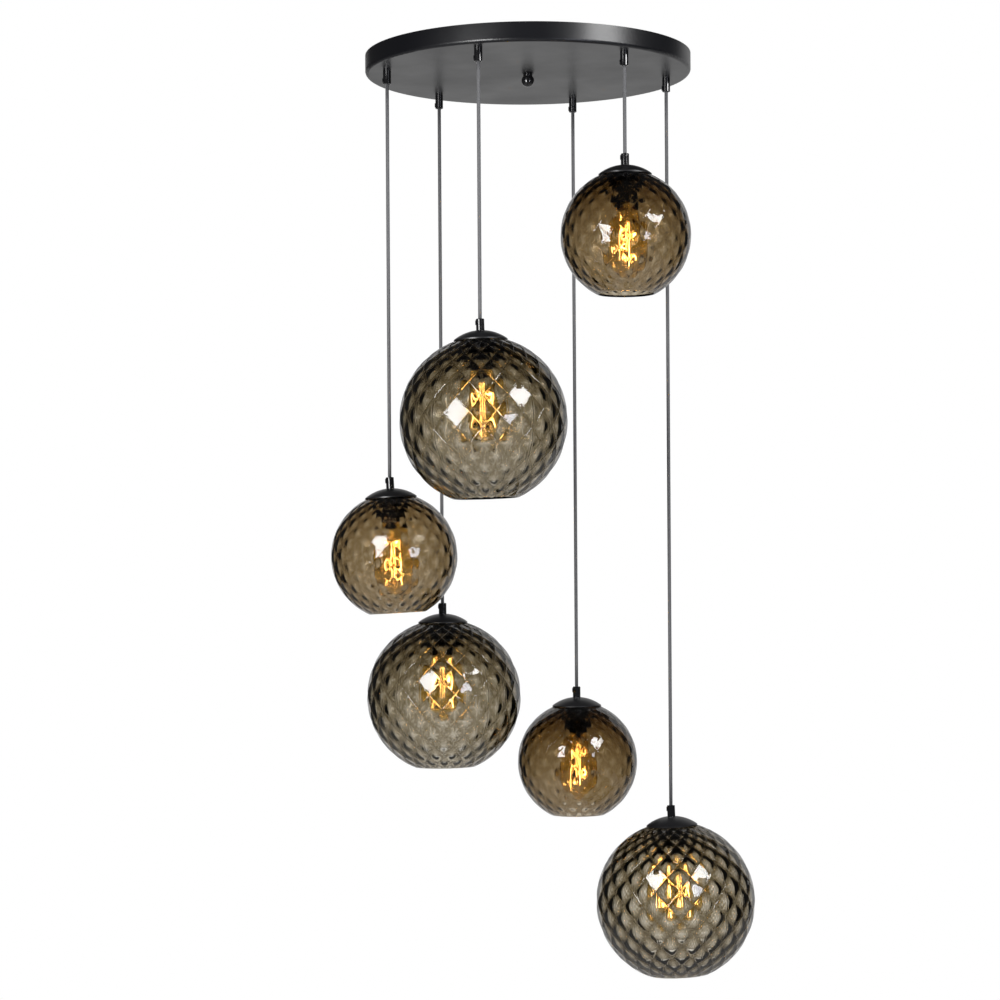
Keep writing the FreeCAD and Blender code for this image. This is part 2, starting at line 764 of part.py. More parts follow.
def bulb_glass(letter):
    """The envelope: a neck in the cap, a cone, and two arcs that meet at the widest place."""
    wall, wide = S["envelope_wall"], S["envelope_radius"]
    neck_inside = S["bulb_cap_radius"] - S["bulb_cap_wall"] - S["thread_clearance"]
    neck, throat = S["envelope_neck_radius"], S["envelope_throat_radius"]
    top = HOLDER_END - S["bulb_cap_showing"] + S["bulb_cap_skirt"] - S["thread_clearance"]
    edge = HOLDER_END - S["bulb_cap_showing"] - S["thread_clearance"]
    neck_end, throat_height = HOLDER_END - S["envelope_neck_drop"], HOLDER_END - S["envelope_throat_drop"]
    widest, tip = HOLDER_END - S["envelope_widest_drop"], HOLDER_END - S["envelope_length"]
    upper_rise, lower_fall = throat_height - widest, widest - tip
    upper = (upper_rise * upper_rise + (wide - throat) * (wide - throat)) / ((wide - throat) * 2)
    lower = (lower_fall * lower_fall + wide * wide) / (wide * 2)
    upper_centre, lower_centre = (wide - upper, widest), (wide - lower, widest)
    inner_throat = wide - upper + leg(upper - wall, upper_rise)
    inner_tip = widest - leg(lower - wall, wide - lower)
    return hang(turned("bulb_glass_" + letter, [
        (neck_inside, top),
        (neck_inside, edge),
        (neck, neck_end),
        (throat, throat_height, upper, upper_centre),
        (wide, widest, lower, lower_centre),
        (0, tip),
        (0, inner_tip, lower - wall, lower_centre),
        (wide - wall, widest, upper - wall, upper_centre),
        (inner_throat, throat_height),
        (neck - wall, neck_end),
        (neck_inside - wall, edge),
        (neck_inside - wall, top),
    ]), letter)


def rod_between(name, start, finish, radius):
    """A thin straight rod from one point to another."""
    rod = document.addObject("Part::Feature", name)
    along = finish - start
    rod.Shape = Part.makeCylinder(radius, along.Length, start, along)
    return rod


def bulb_filament(letter):
    """The glass stem with its support wires and a zigzag of filaments round it."""
    foot = HOLDER_END - S["bulb_cap_showing"] + S["bulb_cap_skirt"] - S["thread_clearance"] * 2
    flare, rod = S["stem_flare_radius"], S["stem_radius"]
    top, bottom = HOLDER_END - S["filament_top_drop"], HOLDER_END - S["filament_bottom_drop"]
    name = "bulb_filament_" + letter
    stem = turned(name + "_stem", [
        (0, foot),
        (flare, foot),
        (flare, foot - S["stem_foot"]),
        (S["stem_waist_radius"], HOLDER_END - S["stem_waist_drop"]),
        (rod, top),
        (rod, bottom - rod),
        (0, bottom - rod),
    ])
    count = FILAMENT_PAIRS * 2
    high, low = [], []
    for step in range(count):
        turn = 2 * math.pi * step / count
        around = FreeCAD.Vector(math.cos(turn), math.sin(turn), 0)
        if step % 2:
            low.append(around * S["filament_bottom_radius"].value + FreeCAD.Vector(0, 0, bottom.value))
        else:
            high.append(around * S["filament_top_radius"].value + FreeCAD.Vector(0, 0, top.value))
    pieces = [stem]
    wire, stick = S["support_wire_radius"].value, S["filament_radius"].value
    for index, upper in enumerate(high):
        axis = FreeCAD.Vector(0, 0, upper.z)
        pieces.append(rod_between(f"{name}_top_wire_{index + 1}", axis, upper, wire))
        for side in (index - 1, index):
            label = f"{name}_stick_{index + 1}_{side % FILAMENT_PAIRS + 1}"
            pieces.append(rod_between(label, upper, low[side], stick))
    for index, lower in enumerate(low):
        axis = FreeCAD.Vector(0, 0, lower.z)
        pieces.append(rod_between(f"{name}_low_wire_{index + 1}", axis, lower, wire))
    return hang(fused(name, pieces), letter)


def pendant(letter):
    """All the pieces that hang on one cord, and the cord itself."""
    makers = (cord, cap_grip, cap, lamp_holder, shade_ring, glass, bulb_glass, bulb_cap, bulb_filament)
    return [maker(letter) for maker in makers]


pieces = [ceiling_plate(), mounting_bracket(), ball_nut(), plate_cord_grips(), terminal_block(), cord_tails()]
for letter in PENDANTS:
    pieces += pendant(letter)

document.recompute()
for thing in document.Objects:
    if "Invalid" in thing.State or "Error" in thing.State:
        raise RuntimeError(f"{thing.Name} failed: {thing.State}")

os.makedirs("parts", exist_ok=True)
for piece in pieces:
    if piece.Shape.isNull() or not piece.Shape.isValid():
        raise RuntimeError(f"{piece.Label} has no valid shape")
    piece.Shape.exportStep(f"parts/{piece.Label}.step")
print(f"{len(pieces)} sub-parts written")
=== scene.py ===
import json
import math

import bpy
import numpy as np
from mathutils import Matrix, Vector


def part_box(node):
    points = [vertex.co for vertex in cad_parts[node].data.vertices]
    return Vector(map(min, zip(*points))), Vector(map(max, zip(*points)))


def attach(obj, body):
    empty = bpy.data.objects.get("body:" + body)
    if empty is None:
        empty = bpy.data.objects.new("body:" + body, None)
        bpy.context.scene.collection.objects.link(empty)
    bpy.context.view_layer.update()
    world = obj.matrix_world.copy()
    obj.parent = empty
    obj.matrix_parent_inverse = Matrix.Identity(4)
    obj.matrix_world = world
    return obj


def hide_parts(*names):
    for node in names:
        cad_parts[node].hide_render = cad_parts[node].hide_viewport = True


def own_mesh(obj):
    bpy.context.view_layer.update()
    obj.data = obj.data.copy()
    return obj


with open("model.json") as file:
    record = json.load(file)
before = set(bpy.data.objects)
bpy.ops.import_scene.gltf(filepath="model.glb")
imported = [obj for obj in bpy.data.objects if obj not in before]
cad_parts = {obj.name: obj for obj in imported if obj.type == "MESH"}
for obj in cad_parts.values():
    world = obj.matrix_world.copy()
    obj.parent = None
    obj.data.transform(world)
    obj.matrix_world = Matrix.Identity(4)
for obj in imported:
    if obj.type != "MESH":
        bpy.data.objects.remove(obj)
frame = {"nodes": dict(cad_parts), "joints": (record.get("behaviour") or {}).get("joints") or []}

# The cluster pendant, dressed: six smoke-glass globes on straight cords under a black ceiling plate.
# Everything is in metres in the row's frame: the origin is on the ceiling over the middle of the plate,
# +Z is up, +X is to the right and +Y is away from the camera. Sizes that repeat the solids' sizes say so.

PENDANTS = "abcdef"
LARGE_PENDANTS = "bcf"

# The photograph's frame: the camera's place, its lens and sensor in millimetres, the frame's shift up as a
# share of the sensor's width, and the camera's roll in degrees
CAMERA_PLACE = (-0.0489, -4.101, -0.838)
CAMERA_LENS = 94.4
CAMERA_SENSOR = 36.0
CAMERA_SHIFT_UP = 0.0925
CAMERA_ROLL = 0.38

# Sizes shared with the solids: the cords
CORD_DIAMETER = 0.0055
CORD_BREAK = 0.0005
CORD_STEPS = 24

# The cord tails: how high each runs, its two bows as a share of the way and an offset to the side, and the
# pole of the terminal strip that it enters, along the strip and on its front or back
GRIP_THREAD_END = -0.023
TAIL_HEIGHT = -0.0085
TAIL_BOWS = ((0.34, 0.009), (0.68, -0.0054))
TAIL_LEAD = 0.026
TAIL_POLES = {"a": (-1, -1), "c": (0, -1), "e": (1, -1), "b": (-1, 1), "d": (0, 1), "f": (1, 1)}
TERMINAL_MIDDLE = 0.040
TERMINAL_ENTRY = 0.0072
TERMINAL_HEIGHT = -0.0185
TERMINAL_PITCH = 0.014

# Sizes shared with the solids: the globes and what holds them, where True is a large globe
GLOBE_RADIUS = {True: 0.125, False: 0.098}
GLOBE_MOUTH = {True: 0.049, False: 0.0435}
GLOBE_HOLE = 0.023
GLOBE_TOP_WALL = 0.0026
GLOBE_LIP_WALL = 0.0026
RING_RADIUS = 0.028
CAP_RIM_DROP = 0.0325
CAP_INSIDE_RADIUS = 0.0388
GLASS_SEAT_GAP = 0.0001
HOLDER_END_DROP = 0.0755

# The bubbles inside the glass. Every globe is blown by hand, so each has its own depth of bubble. Rows and
# fades are in degrees, walls, seams and ripples in metres, and a seam line's width in bubble widths.
BUBBLE_COLUMNS = 20
BUBBLE_ROW_STEP = 10.6
BUBBLE_ROW_SHIFT = -3.0
BUBBLE_THIN_WALL = {"a": 0.0023, "b": 0.0020, "c": 0.0022, "d": 0.0028, "e": 0.0024, "f": 0.0010}
BUBBLE_DEPTH = {"a": 0.0014, "b": 0.0024, "c": 0.0023, "d": 0.0010, "e": 0.0013, "f": 0.0043}
THICKER_TOP = {"a": 0.0015, "b": 0.0045, "c": 0.0035, "d": 0.0050, "e": 0.0040, "f": 0.0035}
THICKER_FOOT = {"a": 0.0, "b": 0.0, "c": 0.0, "d": 0.0, "e": 0.0, "f": 0.0024}
BUBBLE_SOFTNESS = {"a": 1.0, "b": 1.0, "c": 1.0, "d": 1.0, "e": 1.0, "f": 0.0}
BUBBLE_ROUNDNESS = 1.6
BUBBLE_EDGE_BEND = 0.12
BUBBLE_OUTSIDE = 0.0004
SEAM_HEIGHT = {"a": 0.00015, "b": 0.0005, "c": 0.0004, "d": 0.0001, "e": 0.00015, "f": 0.0004}
SEAM_HALF_WIDTH = 0.0017
SEAM_LINE_WIDTH = 0.045
RIPPLE_HEIGHT = (0.00004, 0.00005)
RIPPLE_LENGTH = (0.013, 0.009)
RIPPLE_WAVES = 40
BUBBLE_FADE = 4.0
BUBBLE_FADE_AT_MOUTH = {"a": 8.0, "b": 4.0, "c": 3.0, "d": 10.0, "e": 10.0, "f": 4.0}
STEPS_PER_BUBBLE = {True: 16, False: 12}
ROW_TABLE_STEPS = 4000
ROW_TABLE_MARGIN = 0.05
LIP_STEPS = 8

# The braid on the cords: threads of each family round the cord, and in one cord width along it
WEAVE_THREADS = 12.0
WEAVE_RISE = 5.0

# The bulb's inner pieces, measured downwards from the lamp holder's lower edge
STEM_PROFILE = [(0.0, -0.0074), (0.009, -0.0074), (0.009, -0.0059), (0.0032, 0.0105), (0.0016, 0.024),
                (0.0016, 0.0896), (0.0, 0.0896)]
STICK_PAIRS = 3
STICK_RADIUS = 0.0005
STICK_TOP = (0.006, 0.024)
STICK_BOTTOM = (0.0125, 0.088)
WIRE_RADIUS = 0.0004

# The studio: the floor, the levels of the world for plain, glossy and straight rays, and each softbox's
# place, width, height, radiance and colour
FLOOR_HEIGHT = -2.35
FLOOR_SIZE = 7.0
FLOOR_GREY = 0.8
FLOOR_GLOW = 0.72
WORLD_LEVELS = {"plain": 0.2, "gloss": 0.05, "white": 1.0}
LAMP_AIM = (0.0, 0.0, -0.75)
WHITE = (1.0, 1.0, 1.0)
COOL_WHITE = (0.86, 0.89, 1.0)
SOFTBOXES = {
    "left_softbox": ((-0.80, -1.27, -0.43), 0.42, 0.85, 20.0, WHITE),
    "right_softbox": ((1.57, -1.30, 0.41), 0.85, 0.5, 20.0, WHITE),
    "right_fill": ((1.15, -1.73, -0.55), 0.42, 0.42, 15.0, COOL_WHITE),
}
BACKDROP_PLACE = (0.8, 2.4, -0.6)
BACKDROP_AIM = (0.8, 0.0, -0.6)
BACKDROP_WIDTH, BACKDROP_HEIGHT = 4.0, 3.6
BACKDROP_RADIANCE = 0.5
LIGHT_BOUNCES = 24


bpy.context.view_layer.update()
scene = bpy.context.scene


# Geometry written as arrays


def piece(name, points, faces, finish, body, stands_for=()):
    """One mesh from an array of points and an array of faces, in the row's frame, riding on a body."""
    mesh = bpy.data.meshes.new(name)
    corners = faces.shape[1]
    mesh.vertices.add(len(points))
    mesh.vertices.foreach_set("co", np.ascontiguousarray(points, np.float32).ravel())
    mesh.loops.add(faces.size)
    mesh.loops.foreach_set("vertex_index", np.ascontiguousarray(faces, np.int32).ravel())
    mesh.polygons.add(len(faces))
    mesh.polygons.foreach_set("loop_start", np.arange(0, faces.size, corners, dtype=np.int32))
    mesh.polygons.foreach_set("loop_total", np.full(len(faces), corners, np.int32))
    mesh.polygons.foreach_set("use_smooth", np.ones(len(faces), bool))
    mesh.update(calc_edges=True)
    mesh.materials.append(finish)
    thing = bpy.data.objects.new(name, mesh)
    scene.collection.objects.link(thing)
    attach(thing, body)
    if stands_for:
        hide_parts(*stands_for)
    return thing


def closed_grid(rows, columns, crossed=None):
    """Triangles of a grid whose columns close on themselves: each square is split from its upper left corner,
    or from its upper right one where crossed says so."""
    index = np.arange(rows * columns).reshape(rows, columns)
    along = np.roll(index, -1, axis=1)
    upper, lower = index[:-1], index[1:]
    upper_next, lower_next = along[:-1], along[1:]
    if crossed is None:
        crossed = np.zeros(upper.shape, bool)
    first = np.stack([upper, lower, np.where(crossed, upper_next, lower_next)], axis=-1)
    second = np.stack([np.where(crossed, lower, upper), lower_next, upper_next], axis=-1)
    return np.concatenate([first.reshape(-1, 3), second.reshape(-1, 3)])


def turned_points(profile, steps):
    """A profile of (radius, height) turned about Z: x = r cos t, y = r sin t, z = h, for t round a circle."""
    profile = np.asarray(profile, float)
    turn = np.linspace(0, 2 * math.pi, steps, endpoint=False)
    radius, height = profile[:, :1], profile[:, 1:]
    points = np.stack([radius * np.cos(turn), radius * np.sin(turn), height + 0 * turn], axis=-1)
    return points.reshape(-1, 3)


def tube_points(path, radius, steps):
    """Circles of one radius round each point of a path, each square to the path there. A point of a circle is
    the path's point plus radius times (cos t times one side direction plus sin t times the other)."""
    path = np.asarray(path, float)
    along = np.gradient(path, axis=0)
    along /= np.linalg.norm(along, axis=1, keepdims=True)
    helper = np.where(np.abs(along[:, 2:]) > 0.9, [[1.0, 0.0, 0.0]], [[0.0, 0.0, 1.0]])
    side = np.cross(helper, along)
    side /= np.linalg.norm(side, axis=1, keepdims=True)
    other = np.cross(along, side)
    turn = np.linspace(0, 2 * math.pi, steps, endpoint=False)[None, :, None]
    ring = path[:, None] + radius * (np.cos(turn) * side[:, None] + np.sin(turn) * other[:, None])
    return ring.reshape(-1, 3)


def tube_faces(rows, columns):
    """Triangles of a tube of rings with a fan of triangles on each end."""
    sides = closed_grid(rows, columns)[:, ::-1]
    ring = np.arange(1, columns - 1)
    start = np.stack([np.zeros_like(ring), ring + 1, ring], axis=-1)
    finish = np.stack([np.zeros_like(ring), ring, ring + 1], axis=-1) + (rows - 1) * columns
    return np.concatenate([sides, start, finish])


def lay_map(mesh, name, columns, turns, heights):
    """A round piece's own UV map: u goes from 0 to its turns once round it, and v is each row's height."""
    layer = mesh.uv_layers.new(name=name)
    corner = np.zeros(len(mesh.loops), np.int32)
    mesh.loops.foreach_get("vertex_index", corner)
    row, column = corner // columns, corner % columns
    faces = column.reshape(-1, 3)
    wraps = faces.max(axis=1) - faces.min(axis=1) > columns // 2
    column = column + np.where(np.repeat(wraps, 3) & (column < columns // 2), columns, 0)
    values = np.stack([column * turns / columns, heights[row]], axis=-1)
    layer.data.foreach_set("uv", values.astype(np.float32).ravel())


# Finishes


def new_finish(name):
    """An empty material with its output, ready for its nodes."""
    finish = bpy.data.materials.new(name)
    finish.use_nodes = True
    finish.node_tree.nodes.clear()
    output = finish.node_tree.nodes.new("ShaderNodeOutputMaterial")
    return finish, finish.node_tree, output


def surface_shader(tree, output, colour, roughness, metallic=0.0):
    """The main shader of an opaque finish."""
    shader = tree.nodes.new("ShaderNodeBsdfPrincipled")
    shader.inputs["Base Color"].default_value = (*colour, 1.0)
    shader.inputs["Roughness"].default_value = roughness
    shader.inputs["Metallic"].default_value = metallic
    tree.links.new(shader.outputs["BSDF"], output.inputs["Surface"])
    return shader


def noise(tree, scale, detail=3.0):
    """Noise in the object's own coordinates, with scale in waves per metre."""
    place = tree.nodes.new("ShaderNodeTexCoord")
    pattern = tree.nodes.new("ShaderNodeTexNoise")
    pattern.inputs["Scale"].default_value = scale
    pattern.inputs["Detail"].default_value = detail
    tree.links.new(place.outputs["Object"], pattern.inputs["Vector"])
    return pattern.outputs["Fac"]


def spread(tree, value, low, high):
    """A value from 0 to 1 spread from low to high."""
    range_node = tree.nodes.new("ShaderNodeMapRange")
    range_node.inputs["From Min"].default_value = 0.3
    range_node.inputs["From Max"].default_value = 0.7
    range_node.inputs["To Min"].default_value = low
    range_node.inputs["To Max"].default_value = high
    tree.links.new(value, range_node.inputs["Value"])
    return range_node.outputs["Result"]


def roughen(tree, shader, value, strength, distance):
    """A small bump from a pattern."""
    bump = tree.nodes.new("ShaderNodeBump")
    bump.inputs["Strength"].default_value = strength
    bump.inputs["Distance"].default_value = distance
    tree.links.new(value, bump.inputs["Height"])
    tree.links.new(bump.outputs["Normal"], shader.inputs["Normal"])


def powder_coat(name, colour, roughness, grain):
    """Powder-coated sheet: satin black with the fine orange peel of the coat and faint rubbed patches."""
    finish, tree, output = new_finish(name)
    shader = surface_shader(tree, output, colour, roughness)
    patches = noise(tree, 9.0)
    tree.links.new(spread(tree, patches, roughness - 0.04, roughness + 0.05), shader.inputs["Roughness"])
    roughen(tree, shader, noise(tree, grain, 2.0), 0.12, 0.0002)
    return finish


def gloss_black(name, colour, roughness):
    """Black moulded plastic or enamel with a clear gloss and slight waves."""
    finish, tree, output = new_finish(name)
    shader = surface_shader(tree, output, colour, roughness)
    shader.inputs["Coat Weight"].default_value = 0.4
    shader.inputs["Coat Roughness"].default_value = 0.08
    tree.links.new(spread(tree, noise(tree, 120.0), roughness - 0.03, roughness + 0.06),
                   shader.inputs["Roughness"])
    roughen(tree, shader, noise(tree, 260.0, 1.0), 0.08, 0.0002)
    return finish


def bare_metal(name, colour, roughness, streaks):
    """Plated metal with fine drawn streaks."""
    finish, tree, output = new_finish(name)
    shader = surface_shader(tree, output, colour, roughness, metallic=1.0)
    place = tree.nodes.new("ShaderNodeTexCoord")
    stretch = tree.nodes.new("ShaderNodeMapping")
    stretch.inputs["Scale"].default_value = (streaks * 0.04, streaks, streaks)
    pattern = tree.nodes.new("ShaderNodeTexNoise")
    pattern.inputs["Scale"].default_value = 1.0
    tree.links.new(place.outputs["Object"], stretch.inputs["Vector"])
    tree.links.new(stretch.outputs["Vector"], pattern.inputs["Vector"])
    tree.links.new(spread(tree, pattern.outputs["Fac"], roughness - 0.08, roughness + 0.1),
                   shader.inputs["Roughness"])
    return finish


def nylon_white(name):
    """The terminal strip's milky nylon."""
    finish, tree, output = new_finish(name)
    shader = surface_shader(tree, output, (0.72, 0.72, 0.69), 0.5)
    shader.inputs["Subsurface Weight"].default_value = 0.15
    shader.inputs["Subsurface Radius"].default_value = (0.002, 0.002, 0.002)
    roughen(tree, shader, noise(tree, 900.0), 0.1, 0.0001)
    return finish


def woven_cord(name):
    """Grey braided textile: two families of threads wound round the cord, drawn from its own UV map, whose u
    goes once round and whose v is the length in cord widths. Its colour is darker in the valleys between the
    threads, as painted shade."""
    finish, tree, output = new_finish(name)
    shader = surface_shader(tree, output, (0.075, 0.075, 0.08), 0.55)
    shader.inputs["Sheen Weight"].default_value = 0.5
    shader.inputs["Sheen Roughness"].default_value = 0.4
    place = tree.nodes.new("ShaderNodeUVMap")
    place.uv_map = "weave"
    heights = []
    for lean in (1.0, -1.0):
        turn = tree.nodes.new("ShaderNodeVectorMath")
        turn.operation = "DOT_PRODUCT"
        turn.inputs[1].default_value = (WEAVE_THREADS * lean, WEAVE_RISE, 0.0)
        tree.links.new(place.outputs["UV"], turn.inputs[0])
        wave = tree.nodes.new("ShaderNodeMath")
        wave.operation = "PINGPONG"
        wave.inputs[1].default_value = 0.5
        tree.links.new(turn.outputs["Value"], wave.inputs[0])
        heights.append(wave.outputs["Value"])
    crossing = tree.nodes.new("ShaderNodeMath")
    crossing.operation = "MAXIMUM"
    tree.links.new(heights[0], crossing.inputs[0])
    tree.links.new(heights[1], crossing.inputs[1])
    roughen(tree, shader, crossing.outputs["Value"], 0.5, 0.0003)
    # Painted shade: the colour runs from dark in the valleys between the threads to lighter on their crowns
    tint = tree.nodes.new("ShaderNodeMapRange")
    tint.inputs["From Max"].default_value = 0.5
    tint.inputs["To Min"].default_value = 0.5
    tint.inputs["To Max"].default_value = 1.0
    tree.links.new(crossing.outputs["Value"], tint.inputs["Value"])
    painted_valley_shade = tree.nodes.new("ShaderNodeMix")
    painted_valley_shade.data_type = "RGBA"
    painted_valley_shade.inputs["A"].default_value = (0.03, 0.03, 0.033, 1.0)
    painted_valley_shade.inputs["B"].default_value = (0.115, 0.115, 0.12, 1.0)
    tree.links.new(tint.outputs["Result"], painted_valley_shade.inputs["Factor"])
    tree.links.new(painted_valley_shade.outputs["Result"], shader.inputs["Base Color"])
    return finish


def seam_lines(tree):
    """1 on the crossing lines between the bubbles and 0 off them, from the globe's own map of bubbles: u and
    v count the bubbles across and down, and a line runs where u + v or u - v is halfway between whole
    numbers."""
    place = tree.nodes.new("ShaderNodeUVMap")
    place.uv_map = "bubbles"
    distances = []
    for lean in (1.0, -1.0):
        along = tree.nodes.new("ShaderNodeVectorMath")
        along.operation = "DOT_PRODUCT"
        along.inputs[1].default_value = (1.0, lean, 0.0)
        tree.links.new(place.outputs["UV"], along.inputs[0])
        half = tree.nodes.new("ShaderNodeMath")
        half.operation = "ADD"
        half.inputs[1].default_value = 0.5
        tree.links.new(along.outputs["Value"], half.inputs[0])
        wave = tree.nodes.new("ShaderNodeMath")
        wave.operation = "PINGPONG"
        wave.inputs[1].default_value = 0.5
        tree.links.new(half.outputs["Value"], wave.inputs[0])
        distances.append(wave.outputs["Value"])
    nearest = tree.nodes.new("ShaderNodeMath")
    nearest.operation = "MINIMUM"
    tree.links.new(distances[0], nearest.inputs[0])
    tree.links.new(distances[1], nearest.inputs[1])
    line = tree.nodes.new("ShaderNodeMapRange")
    line.interpolation_type = "SMOOTHSTEP"
    line.inputs["From Max"].default_value = SEAM_LINE_WIDTH
    line.inputs["To Min"].default_value = 1.0
    line.inputs["To Max"].default_value = 0.0
    tree.links.new(nearest.outputs["Value"], line.inputs["Value"])
    return line.outputs["Result"]


def tinted_glass(name, tint, density, seam=0.0):
    """Clear glass that darkens with its own thickness: a clear surface over an absorbing body, with its seam
    lines at a height in metres where it has any."""
    finish, tree, output = new_finish(name)
    glass = tree.nodes.new("ShaderNodeBsdfGlass")
    glass.inputs["Color"].default_value = (1.0, 1.0, 1.0, 1.0)
    glass.inputs["Roughness"].default_value = 0.0
    glass.inputs["IOR"].default_value = 1.5
    if seam:
        roughen(tree, glass, seam_lines(tree), 1.0, seam)
    body = tree.nodes.new("ShaderNodeVolumeAbsorption")
    body.inputs["Color"].default_value = (*tint, 1.0)
    body.inputs["Density"].default_value = density
    tree.links.new(glass.outputs["BSDF"], output.inputs["Surface"])
    tree.links.new(body.outputs["Volume"], output.inputs["Volume"])
    return finish


def lit_stick(name):
    """A filament stick's yellow coat, alight, a little brighter in bands where its chips sit."""
    finish, tree, output = new_finish(name)
    shader = surface_shader(tree, output, (1.0, 0.68, 0.22), 0.5)
    shader.inputs["Emission Color"].default_value = (1.0, 0.66, 0.30, 1.0)
    tree.links.new(spread(tree, noise(tree, 420.0, 1.0), 30.0, 55.0), shader.inputs["Emission Strength"])
    return finish


PLATE_COAT = powder_coat("plate_satin_black", (0.0040, 0.0042, 0.0058), 0.33, 1400.0)
CAP_COAT = powder_coat("cap_satin_black", (0.008, 0.008, 0.0088), 0.36, 1800.0)
NUT_ENAMEL = gloss_black("nut_gloss_black", (0.008, 0.008, 0.009), 0.16)
GRIP_PLASTIC = gloss_black("grip_gloss_black", (0.007, 0.007, 0.008), 0.14)
HOLDER_PLASTIC = gloss_black("holder_black", (0.004, 0.004, 0.0046), 0.26)
ZINC = bare_metal("zinc_steel", (0.55, 0.56, 0.57), 0.36, 900.0)
BULB_CAP_METAL = bare_metal("bulb_cap_brass", (0.72, 0.58, 0.32), 0.3, 700.0)
WIRE_METAL = bare_metal("support_wire", (0.6, 0.58, 0.55), 0.3, 2000.0)
TERMINAL_NYLON = nylon_white("terminal_nylon")
CORD_BRAID = woven_cord("cord_grey_braid")
SMOKE_GLASS = {
    True: tinted_glass("smoke_glass", (0.54, 0.48, 0.34), 400.0, seam=0.0003),
    False: tinted_glass("brown_smoke_glass", (0.57, 0.47, 0.27), 480.0, seam=0.00008),
}
AMBER_GLASS = tinted_glass("amber_glass", (0.985, 0.76, 0.05), 700.0)
STEM_GLASS = tinted_glass("stem_glass", (0.97, 0.96, 0.94), 40.0)
FILAMENT_COAT = lit_stick("filament_coat")


# Camera


def photograph_camera():
    """The photograph's camera: level, rolled a little, with its frame shifted up."""
    data = bpy.data.cameras.new("photograph")
    data.lens = CAMERA_LENS
    data.sensor_width = CAMERA_SENSOR
    data.shift_y = CAMERA_SHIFT_UP
    data.clip_end = 60.0
    camera = bpy.data.objects.new("photograph", data)
    scene.collection.objects.link(camera)
    camera.location = CAMERA_PLACE
    camera.rotation_euler = (math.radians(90), math.radians(CAMERA_ROLL), 0)
    scene.camera = camera


photograph_camera()


# Where each pendant hangs


def joint(name):
    """One joint of the record."""
    return [found for found in frame["joints"] if found["name"] == name][0]


def pendant_frame(letter):
    """Where the cord ends, and the directions of the pendant's own X, Y and Z, from the bulb's joint."""
    turning = joint("bulb_turn_" + letter)
    up = np.array(turning["axis"], float)
    up /= np.linalg.norm(up)
    across = np.cross([0.0, 1.0, 0.0], up)
    return np.array(turning["pos_m"], float), np.stack([across, np.cross(up, across), up])


def hung(points, letter, drop=0.0):
    """Points about the pendant's own axis, moved down it by a drop and put in their place under the plate."""
    foot, directions = pendant_frame(letter)
    return (points - [0.0, 0.0, drop]) @ directions + foot


def globe_drop(letter):
    """How far the globe's centre lies below the end of the cord: the cap's rim rests on the glass."""
    radius = GLOBE_RADIUS[letter in LARGE_PENDANTS]
    return CAP_RIM_DROP + GLASS_SEAT_GAP + math.sqrt(radius ** 2 - CAP_INSIDE_RADIUS ** 2)


# Cords


def spline_points(name, route):
    """The line of one NURBS spline over a route's points, read from the curve."""
    curve = bpy.data.curves.new(name, "CURVE")
    curve.dimensions = "3D"
    spline = curve.splines.new("NURBS")
    spline.points.add(len(route) - 1)
    for point, spot in zip(spline.points, route):
        point.co = (*spot, 1.0)
    spline.order_u = 3
    spline.use_endpoint_u = True
    spline.resolution_u = 12
    holder = bpy.data.objects.new(name, curve)
    scene.collection.objects.link(holder)
    bpy.context.view_layer.update()
    line = bpy.data.meshes.new_from_object(holder)
    points = np.zeros(len(line.vertices) * 3, np.float32)
    line.vertices.foreach_get("co", points)
    bpy.data.objects.remove(holder)
    bpy.data.curves.remove(curve)
    bpy.data.meshes.remove(line)
    return points.reshape(-1, 3).astype(float)


def cord_tube(name, route, body, stands_for):
    """A round cord along its route's spline, with the weave laid along it."""
    path = spline_points(name + "_line", route)
    points = tube_points(path, CORD_DIAMETER / 2, CORD_STEPS)
    faces = tube_faces(len(path), CORD_STEPS)
    thing = piece(name, points, faces, CORD_BRAID, body, stands_for)
    runs = np.linalg.norm(np.diff(path, axis=0), axis=1)
    lengths = np.concatenate([[0.0], np.cumsum(runs)])
    lay_map(thing.data, "weave", CORD_STEPS, 1, lengths / CORD_DIAMETER)
    return thing, path, float(lengths[-1])


def hanging_cord(letter):
    """The straight cord from the plate's grip to the cap's grip."""
    swing, height = joint("swing_" + letter), joint("height_" + letter)
    top = Vector(swing["pos_m"])
    foot = Vector((top.x, top.y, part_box("cord_" + letter)[0][2]))
    route = [tuple(top), tuple(top.lerp(foot, 0.5)), tuple(foot)]
    thing, path, length = cord_tube("hanging_cord_" + letter, route, "cord_" + letter, ["cord_" + letter])
    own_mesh(thing)


def cord_tail(letter):
    """The cord's end inside the pan: up through its grip, round in a lazy bow and into its pole of the strip.
    It has one point more than the solid's route, at the thread's end, which keeps it upright in the grip."""
    pole, side = TAIL_POLES[letter]
    foot = np.array(joint("swing_" + letter)["pos_m"], float) + [0, 0, CORD_BREAK]
    thread_end, corner = foot.copy(), foot.copy()
    thread_end[2], corner[2] = GRIP_THREAD_END, TAIL_HEIGHT
    entry = np.array([TERMINAL_MIDDLE + TERMINAL_PITCH * pole, TERMINAL_ENTRY * side, TERMINAL_HEIGHT])
    turn_in = entry + [0, TAIL_LEAD * side, 0]
    along = turn_in - corner
    sideways = np.array([-along[1], along[0], 0]) / math.hypot(along[0], along[1])
    bows = [corner + share * along + bow * sideways for share, bow in TAIL_BOWS]
    route = [tuple(spot) for spot in (foot, thread_end, corner, *bows, turn_in, entry)]
    thing, path, length = cord_tube("cord_tail_" + letter, route, "root", ["cord_tails"])


for letter in PENDANTS:
    hanging_cord(letter)
    cord_tail(letter)


# The globes


